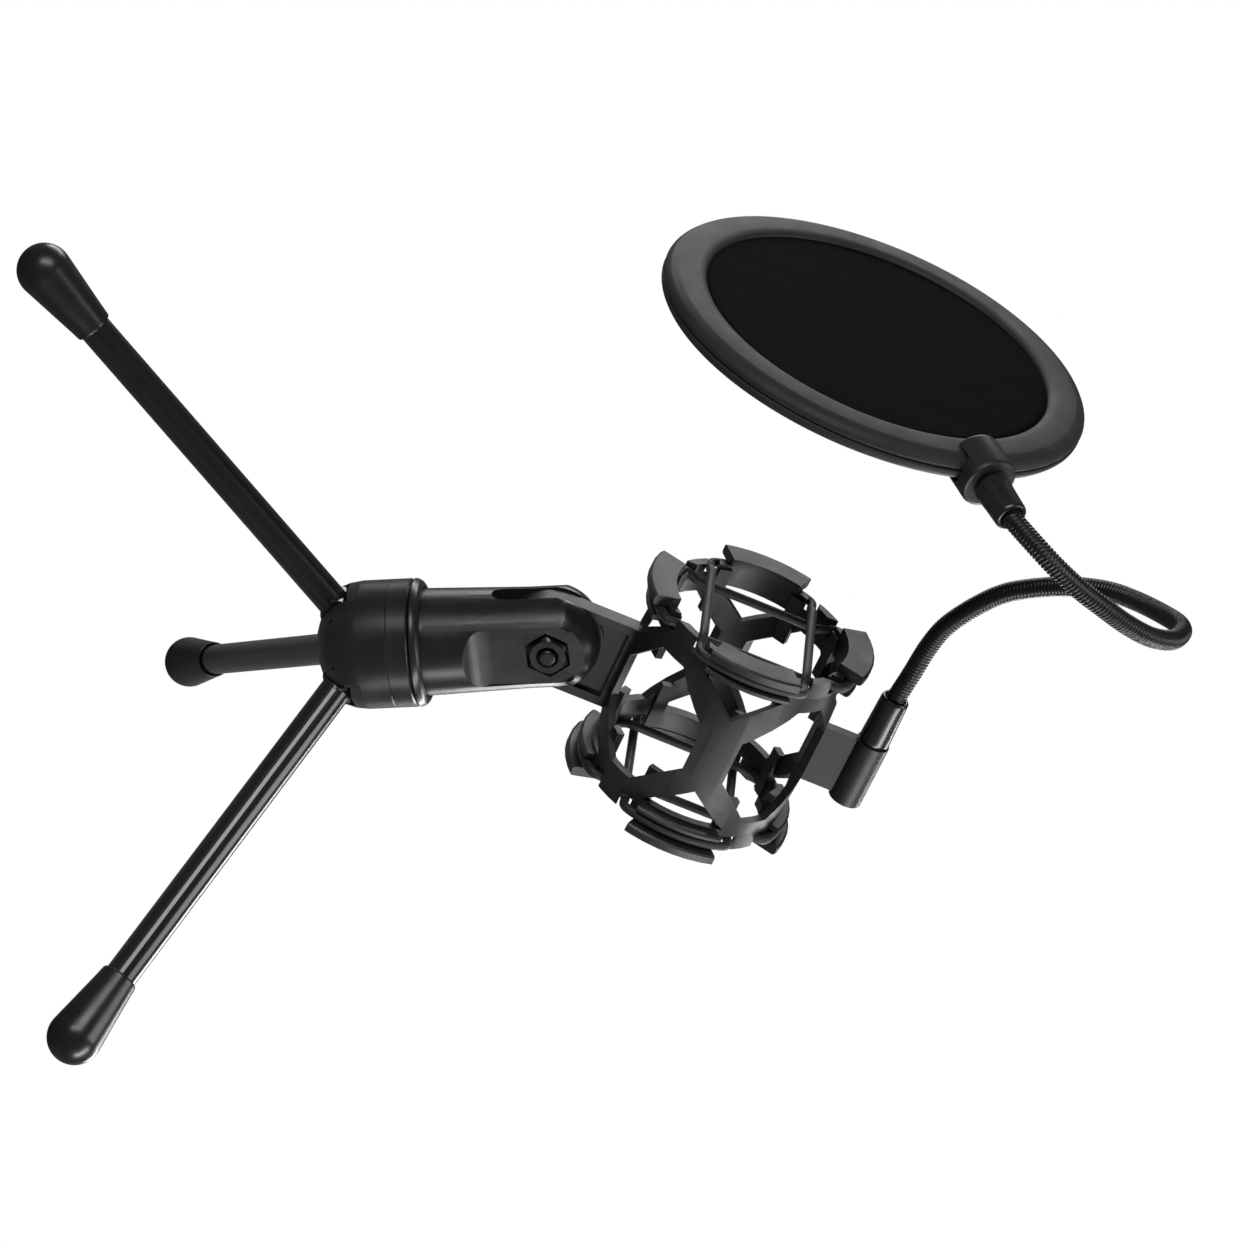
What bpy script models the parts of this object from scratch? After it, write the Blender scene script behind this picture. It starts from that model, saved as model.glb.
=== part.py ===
"""Desktop microphone stand: folding tripod, elastic cage holder, gooseneck and round pop filter.

Frame: +Z up, origin on the floor under the hub.  The head tilts in the XZ plane.
"""
from math import cos, pi, radians, sin, sqrt, tan

import bmesh
import bpy
from mathutils import Matrix, Vector

MM = 0.001
GAP = 0.3

# tripod
LEG_AZIMUTHS = {"left": 180.0, "front": 300.0, "rear": 60.0}
LEG_PIVOT_R = 12.0
LEG_PIVOT_Z = 75.5
FOOT_R = 120.0
BALL_R = 7.6
LEG_TUBE_R = 4.5
HUB_R = 18.1
HUB_BOTTOM_Z = 69.0
HUB_TOP_Z = 96.2
COLLAR_TOP_Z = 99.3
SLOT_W = 10.2

# clevis tube and tilt joint
TUBE_R_LOW = 15.1
TUBE_R_TOP = 14.2
PIVOT_Z = 134.3
EAR_R = 14.2
CLEVIS_SLOT_W = 6.2
CLEVIS_SLOT_Z = 119.0
FLAT_Y = 11.0
TILT = 27.9

# cage, measured in the head frame: x along the tongue, z along the microphone
CAGE_DIST = 51.0
SHELL_R_MID = 30.3
SHELL_R_END = 28.9
SHELL_T = 2.5
WALL_Z = 29.3
LIP_R = 34.0
LIP_Z = (28.7, 31.7)
FLANGE_R = 32.2
FLANGE_Z = (23.5, 25.3)
PAD_HALF = 23.0
BAND_R = 1.3
BAND_Z = 27.0
CHORD = 15.4
HOOK_AT = 25.5
HOOK_R = 26.5
HOOK_SIZE = (2.2, 4.2, 14.7)
TONGUE_T = 5.4
TONGUE_HALF = 13.5

# socket, gooseneck and filter
SOCKET_X = 44.4
SOCKET_R = 4.9
NECK_R = 2.8
FILTER_CENTRE = (-85.1, 0.0, 230.7)
FILTER_TURN = -2.0
FILTER_R = 61.0
FILTER_IN = 49.4
RIM_HALF = 4.1
MESH_Z = 2.6
BLOCK_ANGLE = 57.3
BLOCK_LEAN = 6.9
BLOCK_R = 7.85

parts = None
cutters = None


def start():
    for ob in list(bpy.data.objects):
        bpy.data.objects.remove(ob, do_unlink=True)
    out = []
    for name in ("pop_filter_stand", "cutters"):
        coll = bpy.data.collections.new(name)
        bpy.context.scene.collection.children.link(coll)
        out.append(coll)
    return out


def material(name, colour, rough, metallic=0.0):
    mat = bpy.data.materials.new(name)
    mat.use_nodes = True
    node = mat.node_tree.nodes["Principled BSDF"]
    node.inputs["Base Color"].default_value = (*colour, 1.0)
    node.inputs["Roughness"].default_value = rough
    node.inputs["Metallic"].default_value = metallic
    return mat


def new_object(name, bm, coll, matrix=Matrix.Identity(4), scale=MM):
    bmesh.ops.scale(bm, vec=(scale, scale, scale), verts=bm.verts)
    mesh = bpy.data.meshes.new(name)
    bm.to_mesh(mesh)
    bm.free()
    ob = bpy.data.objects.new(name, mesh)
    coll.objects.link(ob)
    ob.matrix_world = matrix
    return ob


def as_cutter(ob):
    ob.hide_render = True
    ob.display_type = "WIRE"
    return ob


def frame(origin, z_axis, x_hint):
    """Matrix whose local z is z_axis and whose local x lies near x_hint; origin in mm."""
    z = Vector(z_axis).normalized()
    y = z.cross(Vector(x_hint)).normalized()
    x = y.cross(z)
    rot = Matrix((x, y, z)).transposed().to_4x4()
    return Matrix.Translation(Vector(origin) * MM) @ rot


def turned(name, profile, coll, matrix=Matrix.Identity(4), steps=48, closed=False):
    """Profile of (radius, height) at +X, outer side from top to bottom, turned about z."""
    bm = bmesh.new()
    verts = [bm.verts.new((r, 0.0, z)) for r, z in profile]
    pairs = list(zip(verts, verts[1:]))
    if closed:
        pairs.append((verts[-1], verts[0]))
    for a, b in pairs:
        bm.edges.new((a, b))
    ob = new_object(name, bm, coll, matrix)
    mod = ob.modifiers.new("turn", "SCREW")
    mod.axis = "Z"
    mod.angle = 2 * pi
    mod.steps = steps
    mod.render_steps = steps
    mod.use_merge_vertices = True
    mod.merge_threshold = 0.00001
    return ob


def prism(name, outline, low, high, coll, matrix=Matrix.Identity(4)):
    """Outline of (x, z) points carried along y from low to high."""
    bm = bmesh.new()
    verts = [bm.verts.new((x, low, z)) for x, z in outline]
    face = bm.faces.new(verts)
    made = bmesh.ops.extrude_face_region(bm, geom=[face])["geom"]
    moved = [g for g in made if isinstance(g, bmesh.types.BMVert)]
    bmesh.ops.translate(bm, vec=(0, high - low, 0), verts=moved)
    bmesh.ops.recalc_face_normals(bm, faces=bm.faces)
    return new_object(name, bm, coll, matrix)


def arc_points(x, radius, first, last, count):
    """Points (x, z) along an arc about (x, 0), from one angle to another in degrees."""
    steps = [radians(first + (last - first) * i / count) for i in range(count + 1)]
    return [(x + radius * cos(a), radius * sin(a)) for a in steps]


def box(name, x, y, z, coll, matrix=Matrix.Identity(4)):
    """Box given by its (low, high) limits on each axis, in mm."""
    bm = bmesh.new()
    bmesh.ops.create_cube(bm, size=1.0)
    size = [hi - lo for lo, hi in (x, y, z)]
    mid = [(hi + lo) / 2 for lo, hi in (x, y, z)]
    bmesh.ops.scale(bm, vec=size, verts=bm.verts)
    bmesh.ops.translate(bm, vec=mid, verts=bm.verts)
    return new_object(name, bm, coll, matrix)


def rod(name, radius, low, high, coll, matrix=Matrix.Identity(4), sides=32, top_radius=None):
    bm = bmesh.new()
    top = radius if top_radius is None else top_radius
    bmesh.ops.create_cone(bm, cap_ends=True, segments=sides, radius1=radius, radius2=top,
                          depth=high - low)
    bmesh.ops.translate(bm, vec=(0, 0, (high + low) / 2), verts=bm.verts)
    return new_object(name, bm, coll, matrix)


def combine(ob, other, operation):
    mod = ob.modifiers.new(operation.lower(), "BOOLEAN")
    mod.operation = operation
    mod.object = other
    mod.solver = "EXACT"
    as_cutter(other)


def cut(ob, other):
    combine(ob, other, "DIFFERENCE")


def add(ob, other):
    combine(ob, other, "UNION")


def tube_from_points(name, points, radius, coll, cyclic=False, sides=2, matrix=Matrix.Identity(4)):
    """Round cord through points in mm, turned into a welded mesh."""
    curve = bpy.data.curves.new(name, "CURVE")
    curve.dimensions = "3D"
    curve.bevel_depth = radius * MM
    curve.bevel_resolution = sides
    curve.use_fill_caps = not cyclic
    spline = curve.splines.new("POLY")
    spline.points.add(len(points) - 1)
    for slot, co in zip(spline.points, points):
        slot.co = (*(Vector(co) * MM), 1.0)
    spline.use_cyclic_u = cyclic
    temp = bpy.data.objects.new(name + "_curve", curve)
    coll.objects.link(temp)
    bpy.context.view_layer.update()
    graph = bpy.context.evaluated_depsgraph_get()
    mesh = bpy.data.meshes.new_from_object(temp.evaluated_get(graph))
    bm = bmesh.new()
    bm.from_mesh(mesh)
    bmesh.ops.remove_doubles(bm, verts=bm.verts, dist=0.00001)
    bmesh.ops.recalc_face_normals(bm, faces=bm.faces)
    bm.to_mesh(mesh)
    bm.free()
    mesh.name = name
    ob = bpy.data.objects.new(name, mesh)
    coll.objects.link(ob)
    ob.matrix_world = matrix
    bpy.data.objects.remove(temp, do_unlink=True)
    return ob


def smooth_path(points, per_span):
    """Catmull-Rom points through the given ones."""
    pts = [Vector(p) for p in points]
    pts = [2 * pts[0] - pts[1]] + pts + [2 * pts[-1] - pts[-2]]
    out = []
    for i in range(1, len(pts) - 2):
        a, b, c, d = pts[i - 1:i + 3]
        for k in range(per_span):
            t = k / per_span
            out.append(0.5 * (2 * b + (c - a) * t + (2 * a - 5 * b + 4 * c - d) * t * t
                              + (3 * b - a - 3 * c + d) * t ** 3))
    out.append(pts[-2])
    return out


def finish(ob, mat, angle=35.0):
    ob.data.materials.clear()
    ob.data.materials.append(mat)
    if len(ob.data.polygons):
        ob.data.shade_smooth()
        ob.data.set_sharp_from_angle(angle=radians(angle))


# ---------------------------------------------------------------- tripod


def leg_frame(azimuth):
    a = radians(azimuth)
    return Matrix.Rotation(a, 4, "Z")


def leg_axis():
    run = FOOT_R - LEG_PIVOT_R
    drop = BALL_R - LEG_PIVOT_Z
    length = sqrt(run * run + drop * drop)
    return Vector((run, 0.0, drop)) / length, length


def build_hub(mat):
    profile = [(0.0, HUB_TOP_Z), (17.6, HUB_TOP_Z), (HUB_R, HUB_TOP_Z - 0.5), (HUB_R, 82.0),
               (17.6, 78.5), (16.4, 75.2), (14.2, 72.6), (11.6, 70.7), (8.6, 69.5),
               (0.0, HUB_BOTTOM_Z)]
    hub = turned("hub", profile, parts, Matrix.Rotation(radians(2.2), 4, "Z"), steps=44)
    for name, azimuth in LEG_AZIMUTHS.items():
        turn = leg_frame(azimuth)
        outline = [(7.0, 60.0), (26.0, 60.0), (26.0, 73.9), (13.0, 81.2), (7.0, 81.2)]
        slot = prism("slot_" + name, outline, -SLOT_W / 2, SLOT_W / 2, cutters, turn)
        cut(hub, slot)
        hole = rod("pin_hole_" + name, 1.5, -9.4, 9.4, cutters,
                   turn @ frame((LEG_PIVOT_R, 0, LEG_PIVOT_Z), (0, 1, 0), (1, 0, 0)), sides=20)
        cut(hub, hole)
    socket = rod("stud_hole", 5.3, HUB_TOP_Z - 8.0, HUB_TOP_Z + 5.0, cutters, sides=28)
    cut(hub, socket)
    finish(hub, mat)


def build_collar(mat):
    low = HUB_TOP_Z + GAP
    profile = [(15.45, COLLAR_TOP_Z), (16.6, COLLAR_TOP_Z), (17.5, COLLAR_TOP_Z - 0.8),
               (18.0, COLLAR_TOP_Z - 2.0), (18.1, low + 0.4), (17.7, low), (15.45, low)]
    finish(turned("collar_ring", profile, parts, steps=44, closed=True), mat)


def build_legs(mats):
    axis, length = leg_axis()
    for name, azimuth in LEG_AZIMUTHS.items():
        turn = leg_frame(azimuth)
        start_at = Vector((LEG_PIVOT_R, 0, LEG_PIVOT_Z))
        along = turn @ frame(start_at, axis, (0, 0, 1))
        across = turn @ frame(start_at, (0, 1, 0), (1, 0, 0))
        leg = rod("leg_" + name, LEG_TUBE_R, 0.0, length - 7.3, parts, along, sides=28)
        eye = rod("eye_" + name, 4.7, -4.3, 4.3, cutters, across, sides=28)
        add(leg, eye)
        cut(leg, rod("eye_hole_" + name, 1.5, -6.0, 6.0, cutters, across, sides=20))
        finish(leg, mats["tube"])
        pin = rod("leg_pin_" + name, 1.2, -9.0, 9.0, parts, across, sides=16)
        finish(pin, mats["steel"])
        foot_at = start_at + axis * length
        ball = turn @ frame(foot_at, axis, (0, 0, 1))
        arc = [(BALL_R * sin(radians(t)), BALL_R * cos(radians(t))) for t in range(0, 97, 12)]
        profile = arc + [(5.35, -20.3), (5.2, -20.9), (LEG_TUBE_R + GAP, -20.9),
                         (LEG_TUBE_R + GAP, -7.0), (0.0, -7.0)]
        finish(turned("foot_" + name, profile, parts, ball, steps=22), mats["rubber"])


def build_clevis(mats):
    top = PIVOT_Z + EAR_R
    low = HUB_TOP_Z + GAP
    profile = [(0.0, top), (TUBE_R_TOP, top), (TUBE_R_TOP, PIVOT_Z - 6.0),
               (TUBE_R_LOW, COLLAR_TOP_Z + 1.0), (TUBE_R_LOW, low), (5.0, low),
               (5.0, low - 7.6), (0.0, low - 7.6)]
    tube = turned("clevis_tube", profile, parts, Matrix.Rotation(radians(2.9), 4, "Z"), steps=44)
    ear = rod("ear_round", EAR_R, -30.0, 30.0, cutters,
              frame((0, 0, PIVOT_Z), (0, 1, 0), (1, 0, 0)), sides=64)
    block = box("ear_block", (-20.0, 20.0), (-25.0, 25.0), (PIVOT_Z, top + 6.0), cutters)
    cut(block, ear)
    cut(tube, block)
    edge = [(10.0, 11.2), (10.3, 10.7), (11.6, 9.6), (13.0, 7.8), (13.9, 5.5), (14.3, 3.6),
            (30.0, 3.6), (30.0, 20.0), (10.0, 20.0)]
    for side, label in ((-1, "nut_side"), (1, "head_side")):
        rounding = turned("ear_edge_" + label, list(reversed(edge)), cutters,
                          frame((0, 0, PIVOT_Z), (0, side, 0), (1, 0, 0)), steps=64, closed=True)
        upper = box("upper_" + label, (-40.0, 40.0), (-40.0, 40.0),
                    (PIVOT_Z + 0.013, PIVOT_Z + 40.0), cutters)
        combine(rounding, upper, "INTERSECT")
        cut(tube, rounding)
    slot = box("clevis_slot", (-25.0, 25.0), (-CLEVIS_SLOT_W / 2, CLEVIS_SLOT_W / 2),
               (CLEVIS_SLOT_Z + 3.1, top + 8.0), cutters)
    add(slot, rod("slot_round", CLEVIS_SLOT_W / 2, -25.0, 25.0, cutters,
                  frame((0, 0, CLEVIS_SLOT_Z + 3.1), (1, 0, 0), (0, 1, 0)), sides=24))
    cut(tube, slot)
    for side, label in ((-1, "nut"), (1, "head")):
        mirror = Matrix.Rotation(0.0 if side < 0 else pi, 4, "Z")
        flat = box("flat_" + label, (-8.8, 8.8), (-20.0, -FLAT_Y), (119.0, PIVOT_Z + 2.0),
                   cutters, mirror)
        add(flat, rod("flat_end_" + label, 8.8, FLAT_Y, 20.0, cutters,
                      mirror @ frame((0, 0, PIVOT_Z + 2.0), (0, -1, 0), (1, 0, 0)), sides=40))
        add(flat, rod("scoop_" + label, 10.9, -8.8, 8.8, cutters,
                      mirror @ frame((0, -FLAT_Y - 10.9, 119.0), (1, 0, 0), (0, 0, 1)), sides=48))
        cut(tube, flat)
        pocket = rod("pocket_" + label, 6.9 if side < 0 else 6.3, 8.4, 15.0, cutters,
                     mirror @ frame((0, 0, PIVOT_Z), (0, -1, 0), (0, 0, 1)),
                     sides=6 if side < 0 else 36)
        cut(tube, pocket)
    cut(tube, rod("pivot_hole", 2.7, -20.0, 20.0, cutters,
                  frame((0, 0, PIVOT_Z), (0, 1, 0), (1, 0, 0)), sides=28))
    finish(tube, mats["shell"])

    at_pivot = frame((0, 0, PIVOT_Z), (0, -1, 0), (0, 0, 1))
    nut = rod("pivot_nut", 6.1, 8.7, 12.3, parts, at_pivot, sides=6)
    cut(nut, rod("nut_hole", 2.7, 0.0, 20.0, cutters, at_pivot, sides=28))
    finish(nut, mats["steel"])
    bolt = turned("pivot_bolt", [(0.0, 13.3), (2.0, 13.3), (2.4, 12.9), (2.4, -8.7),
                                 (5.6, -8.7), (5.6, -10.6), (4.6, -11.8), (2.6, -12.5),
                                 (0.0, -12.7)], parts, at_pivot, steps=32)
    cut(bolt, box("drive_slot", (-0.6, 0.6), (-4.2, 4.2), (-14.0, -11.2), cutters, at_pivot))
    finish(bolt, mats["steel"])


# ---------------------------------------------------------------- head


def tilt_axes():
    t = radians(TILT)
    tongue = Vector((sin(t), 0.0, cos(t)))
    mic = Vector((-cos(t), 0.0, sin(t)))
    return tongue, mic


def head_matrix():
    tongue, mic = tilt_axes()
    centre = Vector((0, 0, PIVOT_Z)) + CAGE_DIST * tongue
    return frame(centre, mic, tongue)


def shell_radius(z):
    return SHELL_R_MID - (SHELL_R_MID - SHELL_R_END) * min(1.0, (abs(z) / 24.0) ** 2)


def wall_profile():
    heights = [WALL_Z, 24.0, 16.0, 8.0]
    heights += [-h for h in reversed(heights)]
    outer = [(shell_radius(h), h) for h in heights]
    inner = [(shell_radius(h) - SHELL_T, h) for h in reversed(heights)]
    return outer + inner


def ring_profile(low, high, inner, outer):
    return [(inner, high), (outer - 0.6, high), (outer, high - 0.5), (outer, low + 0.5),
            (outer - 0.6, low), (inner, low)]


def spread(name, outline, low, high, angles, head):
    """Copies of one radial prism around the cage, joined in one cutter object."""
    bm = bmesh.new()
    for angle in angles:
        turn = Matrix.Rotation(radians(angle), 3, "Z")
        ring = []
        for r in (low, high):
            ring.append([bm.verts.new(turn @ Vector((r, u, z))) for u, z in outline])
        bm.faces.new(ring[0])
        bm.faces.new(list(reversed(ring[1])))
        count = len(outline)
        for i in range(count):
            j = (i + 1) % count
            bm.faces.new((ring[0][i], ring[1][i], ring[1][j], ring[0][j]))
    bmesh.ops.recalc_face_normals(bm, faces=bm.faces)
    return new_object(name, bm, cutters, head)


def build_cage(mats):
    head = head_matrix()
    cage = turned("cage", wall_profile(), parts, head @ Matrix.Rotation(radians(1.7), 4, "Z"),
                  steps=48, closed=True)
    quarter = [0, 90, 180, 270]
    for sign, label in ((1, "top"), (-1, "bottom")):
        lip = [sign * z for z in LIP_Z]
        flange = [sign * z for z in FLANGE_Z]
        lip_ring = turned("lip_" + label,
                          ring_profile(min(lip), max(lip), SHELL_R_END - SHELL_T - 0.35, LIP_R),
                          cutters, head @ Matrix.Rotation(radians(2.3), 4, "Z"), steps=48, closed=True)
        flange_ring = turned("flange_" + label,
                             ring_profile(min(flange), max(flange), SHELL_R_END - 1.5, FLANGE_R),
                             cutters, head @ Matrix.Rotation(radians(2.3), 4, "Z"), steps=48, closed=True)
        half = tan(radians(PAD_HALF))
        wedge = [(-half, -1), (half, -1), (half, 1), (-half, 1)]
        bm = bmesh.new()
        for angle in quarter:
            turn = Matrix.Rotation(radians(angle), 3, "Z")
            near = [bm.verts.new(turn @ Vector((20.0, 20.0 * u, 40.0 * z))) for u, z in wedge]
            far = [bm.verts.new(turn @ Vector((45.0, 45.0 * u, 40.0 * z))) for u, z in wedge]
            bm.faces.new(near)
            bm.faces.new(list(reversed(far)))
            for i in range(4):
                j = (i + 1) % 4
                bm.faces.new((near[i], far[i], far[j], near[j]))
        bmesh.ops.recalc_face_normals(bm, faces=bm.faces)
        sectors = new_object("sectors_" + label, bm, cutters, head)
        combine(lip_ring, sectors, "INTERSECT")
        combine(flange_ring, sectors, "INTERSECT")
        add(cage, lip_ring)
        add(cage, flange_ring)

        span = (24.8 * sign, 36.0 * sign)
        for k, side in ((0, -1), (1, 1)):
            outline = [(side * 13.6, span[0]), (side * 17.2, span[0]),
                       (side * 17.2, span[1]), (side * 13.6, span[1])]
            cut(cage, spread(f"notch_{label}_{k}", outline, 19.0, 34.0, quarter, head))
        triangle = [(0.0, sign * 12.3), (12.4, sign * 22.6), (-12.4, sign * 22.6)]
        cut(cage, spread("triangle_" + label, triangle, 20.0, 40.0, quarter, head))
    hexagon = [(16.6, -7.0), (16.6, 7.0), (4.5, 19.5), (-4.5, 19.5), (-16.6, 7.0), (-16.6, -7.0),
               (-4.5, -19.5), (4.5, -19.5)]
    cut(cage, spread("window", hexagon, 14.0, 40.0, [45, 135, 225, 315], head))

    for sign, label in ((1, "top"), (-1, "bottom")):
        bm = bmesh.new()
        for angle in quarter:
            for side in (-HOOK_AT, HOOK_AT):
                a = radians(angle + side)
                made = bmesh.ops.create_cube(bm, size=1.0)["verts"]
                bmesh.ops.scale(bm, vec=HOOK_SIZE, verts=made)
                bmesh.ops.rotate(bm, matrix=Matrix.Rotation(a, 3, "Z"), verts=made)
                bmesh.ops.translate(bm, vec=(HOOK_R * cos(a), HOOK_R * sin(a), sign * 20.7),
                                    verts=made)
        add(cage, new_object("hooks_" + label, bm, cutters, head))

    pivot_x = -CAGE_DIST
    round_end = arc_points(pivot_x, TONGUE_HALF, 90.0, 270.0, 24)
    far = -SHELL_R_MID + 1.6
    tongue = prism("tongue_plate", round_end + [(far, -TONGUE_HALF), (far, TONGUE_HALF)],
                   -TONGUE_T / 2, TONGUE_T / 2, cutters, head)
    web_end = -SHELL_R_MID - 1.3
    for side in (-1, 1):
        low, high = sorted((side * 1.5, side * 5.0))
        outline = arc_points(pivot_x, 14.9, -46.0, 46.0, 12) + [(web_end, 10.8), (web_end, -10.8)]
        cut(tongue, prism(f"web_{side}", outline, low, high, cutters, head))
    cut(tongue, rod("tongue_hole", 2.7, -10.0, 10.0, cutters,
                    head @ frame((pivot_x, 0, 0), (0, 1, 0), (0, 0, 1)), sides=28))
    add(cage, tongue)

    plate = box("socket_plate", (SHELL_R_MID - 1.4, SOCKET_X), (-1.6, 1.6), (-11.8, 6.6),
                cutters, head)
    socket = rod("socket_barrel", SOCKET_R, -13.1, 7.0, cutters,
                 head @ frame((SOCKET_X, 0, 0), (0, 0, 1), (1, 0, 0)), sides=36)
    add(plate, socket)
    cut(plate, rod("socket_bore", 2.8, -4.0, 12.0, cutters,
                   head @ frame((SOCKET_X, 0, 0), (0, 0, 1), (1, 0, 0)), sides=28))
    add(cage, plate)
    finish(cage, mats["shell"], 30.0)


def band_path(sign, rise):
    """Loop round the two pads on the local x axis, with straight runs across the cage."""
    centre_r = SHELL_R_END + GAP + BAND_R + 0.1
    arc = [(centre_r * cos(radians(a)), centre_r * sin(radians(a)), 0.0) for a in
           range(-27, 28, 6)]
    corner = [(25.9, 15.45, 0.0), (24.3, 15.65, 0.0), (22.0, CHORD + 0.05, 0.0)]
    run = [(18.0, CHORD, 1.0), (10.0, CHORD, 1.0), (0.0, CHORD, 1.0), (-10.0, CHORD, 1.0),
           (-18.0, CHORD, 1.0)]
    back = [(-x, y, k) for x, y, k in reversed(corner)]
    half = arc + corner + run + back
    full = half + [(-x, -y, k) for x, y, k in half]
    return [(x, y, sign * BAND_Z + rise * k) for x, y, k in full]


def build_bands(mats):
    head = head_matrix()
    quarter_turn = Matrix.Rotation(pi / 2, 4, "Z")
    for sign, label in ((1, "top"), (-1, "bottom")):
        finish(tube_from_points(f"band_{label}_a", band_path(sign, -1.5 * sign), BAND_R, parts,
                                True, 1, head), mats["band"], 80.0)
        finish(tube_from_points(f"band_{label}_b", band_path(sign, 1.5 * sign), BAND_R, parts,
                                True, 1, head @ quarter_turn), mats["band"], 80.0)


# ---------------------------------------------------------------- gooseneck and filter


def filter_frame():
    tongue, mic = tilt_axes()
    turn = Matrix.Rotation(radians(FILTER_TURN), 3, "Y")
    return frame(FILTER_CENTRE, turn @ mic, turn @ tongue)


def block_frame():
    """Local z leaves the rim along the ferrule, local x points away from the microphone side."""
    face = filter_frame()
    a = radians(-BLOCK_ANGLE)
    radial = face.to_3x3() @ Vector((cos(a), sin(a), 0.0))
    normal = face.to_3x3() @ Vector((0, 0, 1))
    lean = radians(BLOCK_LEAN)
    out = radial * cos(lean) - normal * sin(lean)
    origin = Vector(FILTER_CENTRE) + radial * (FILTER_R - 4.0)
    return frame(origin, out, normal)


def neck_points():
    head = head_matrix()
    block = block_frame()
    low = [frame_point(head, (SOCKET_X, 0, z)) for z in (12.0, 15.5, 19.0, 22.8)]
    high = [frame_point(block, (0, 0, z)) for z in (22.6, 20.0, 17.5, 15.0)]
    loop = [(17.2, 0.0, 234.0), (8.7, 0.0, 239.3), (2.0, -0.5, 244.8), (-4.1, -1.5, 253.0),
            (-8.9, -3.5, 261.2), (-11.5, -6.0, 269.2), (-13.3, -9.0, 277.5), (-14.6, -13.0, 285.0),
            (-15.4, -18.0, 292.0), (-15.7, -25.0, 299.0), (-16.5, -33.0, 304.6),
            (-18.0, -41.5, 308.6), (-19.4, -49.0, 309.6), (-21.9, -57.5, 306.9),
            (-27.3, -65.0, 301.4), (-34.2, -70.0, 295.4), (-41.4, -73.0, 289.4),
            (-48.0, -74.3, 283.4), (-53.9, -74.0, 278.3), (-58.8, -72.0, 273.8)]
    return low + [Vector(p) for p in loop] + high


def frame_point(matrix, point):
    return (matrix @ (Vector(point) * MM)) / MM


def build_neck(mats):
    head = head_matrix()
    at_socket = head @ frame((SOCKET_X, 0, 0), (0, 0, 1), (1, 0, 0))
    profile = [(0.0, 11.0), (NECK_R + GAP, 11.0), (NECK_R + GAP, 22.7), (3.8, 22.7), (4.1, 22.0),
               (4.2, 19.0), (4.45, 10.0), (4.5, 8.0), (4.3, 7.3), (2.5, 7.3), (2.5, -2.8),
               (0.0, -2.8)]
    finish(turned("ferrule_lower", profile, parts, at_socket, steps=36), mats["satin"])

    block = block_frame()
    profile = [(0.0, 13.0), (NECK_R + GAP, 13.0), (NECK_R + GAP, 20.8), (4.0, 20.8), (4.4, 20.1),
               (4.6, 14.0), (4.9, 9.0), (4.8, 8.2), (2.5, 8.2), (2.5, 6.2), (0.0, 6.2)]
    finish(turned("ferrule_upper", profile, parts, block, steps=36), mats["satin"])

    path = smooth_path(neck_points(), 4)
    finish(tube_from_points("gooseneck", path, NECK_R, parts, False, 2), mats["neck"], 80.0)


def rim_section(side, grow):
    """Half-rim section, rounded on its outer face; grow widens it for a clearance cutter."""
    inner = FILTER_IN - grow
    outer = FILTER_R + grow
    high = RIM_HALF + grow
    low = 0.15 if grow == 0 else -0.01
    pts = [(inner, 2.9), (inner + 0.8, high - 0.45), (inner + 2.2, high - 0.05),
           (inner + 4.6, high), (outer - 3.4, high - 0.35), (outer - 1.3, high - 1.3),
           (outer - 0.2, high - 2.5), (outer, low + 0.4), (outer - 0.4, low), (inner, low)]
    if side < 0:
        pts = [(r, -z) for r, z in reversed(pts)]
    return pts


def build_filter(mats):
    face = filter_frame()
    finish(turned("rim_front", rim_section(1, 0), parts, face, steps=72, closed=True), mats["rim"])
    finish(turned("rim_back", rim_section(-1, 0), parts, face, steps=72, closed=True), mats["rim"])
    for label, z in (("front", MESH_Z), ("back", -MESH_Z)):
        finish(rod("mesh_" + label, FILTER_IN - GAP, z - 0.2, z + 0.2, parts, face, sides=72),
               mats["mesh"])
    block = block_frame()
    body = rod("block", BLOCK_R, -3.9, 7.9, parts, block, sides=40)
    bev = body.modifiers.new("round", "BEVEL")
    bev.width = 1.3 * MM
    bev.limit_method = "ANGLE"
    bev.segments = 2
    face_z = RIM_HALF + GAP
    side_r = FILTER_R + GAP
    ring = [(FILTER_IN - 6.0, face_z), (side_r - 2.0, face_z), (side_r, face_z - 1.6),
            (side_r, 1.6 - face_z), (side_r - 2.0, -face_z), (FILTER_IN - 6.0, -face_z)]
    cut(body, turned("rim_room", ring, cutters, face, steps=72, closed=True))
    cut(body, rod("ferrule_hole", 2.8, 5.9, 12.0, cutters, block, sides=28))
    finish(body, mats["rim"])


def main():
    global parts, cutters
    parts, cutters = start()
    mats = {
        "shell": material("black moulded plastic", (0.028, 0.028, 0.030), 0.38),
        "tube": material("black painted tube", (0.022, 0.022, 0.024), 0.28, 0.6),
        "steel": material("black steel", (0.05, 0.05, 0.055), 0.3, 1.0),
        "rubber": material("black rubber", (0.02, 0.02, 0.022), 0.45),
        "band": material("black elastic", (0.012, 0.012, 0.013), 0.55),
        "satin": material("satin black ferrule", (0.03, 0.03, 0.032), 0.3, 0.5),
        "neck": material("ribbed gooseneck", (0.014, 0.014, 0.016), 0.42),
        "rim": material("dark grey moulded rim", (0.035, 0.036, 0.038), 0.5),
        "mesh": material("black nylon mesh", (0.003, 0.003, 0.003), 0.9),
    }
    build_hub(mats["shell"])
    build_collar(mats["shell"])
    build_legs(mats)
    build_clevis(mats)
    build_cage(mats)
    build_bands(mats)
    build_neck(mats)
    build_filter(mats)
    for ob in list(cutters.objects):
        as_cutter(ob)


main()
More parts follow.
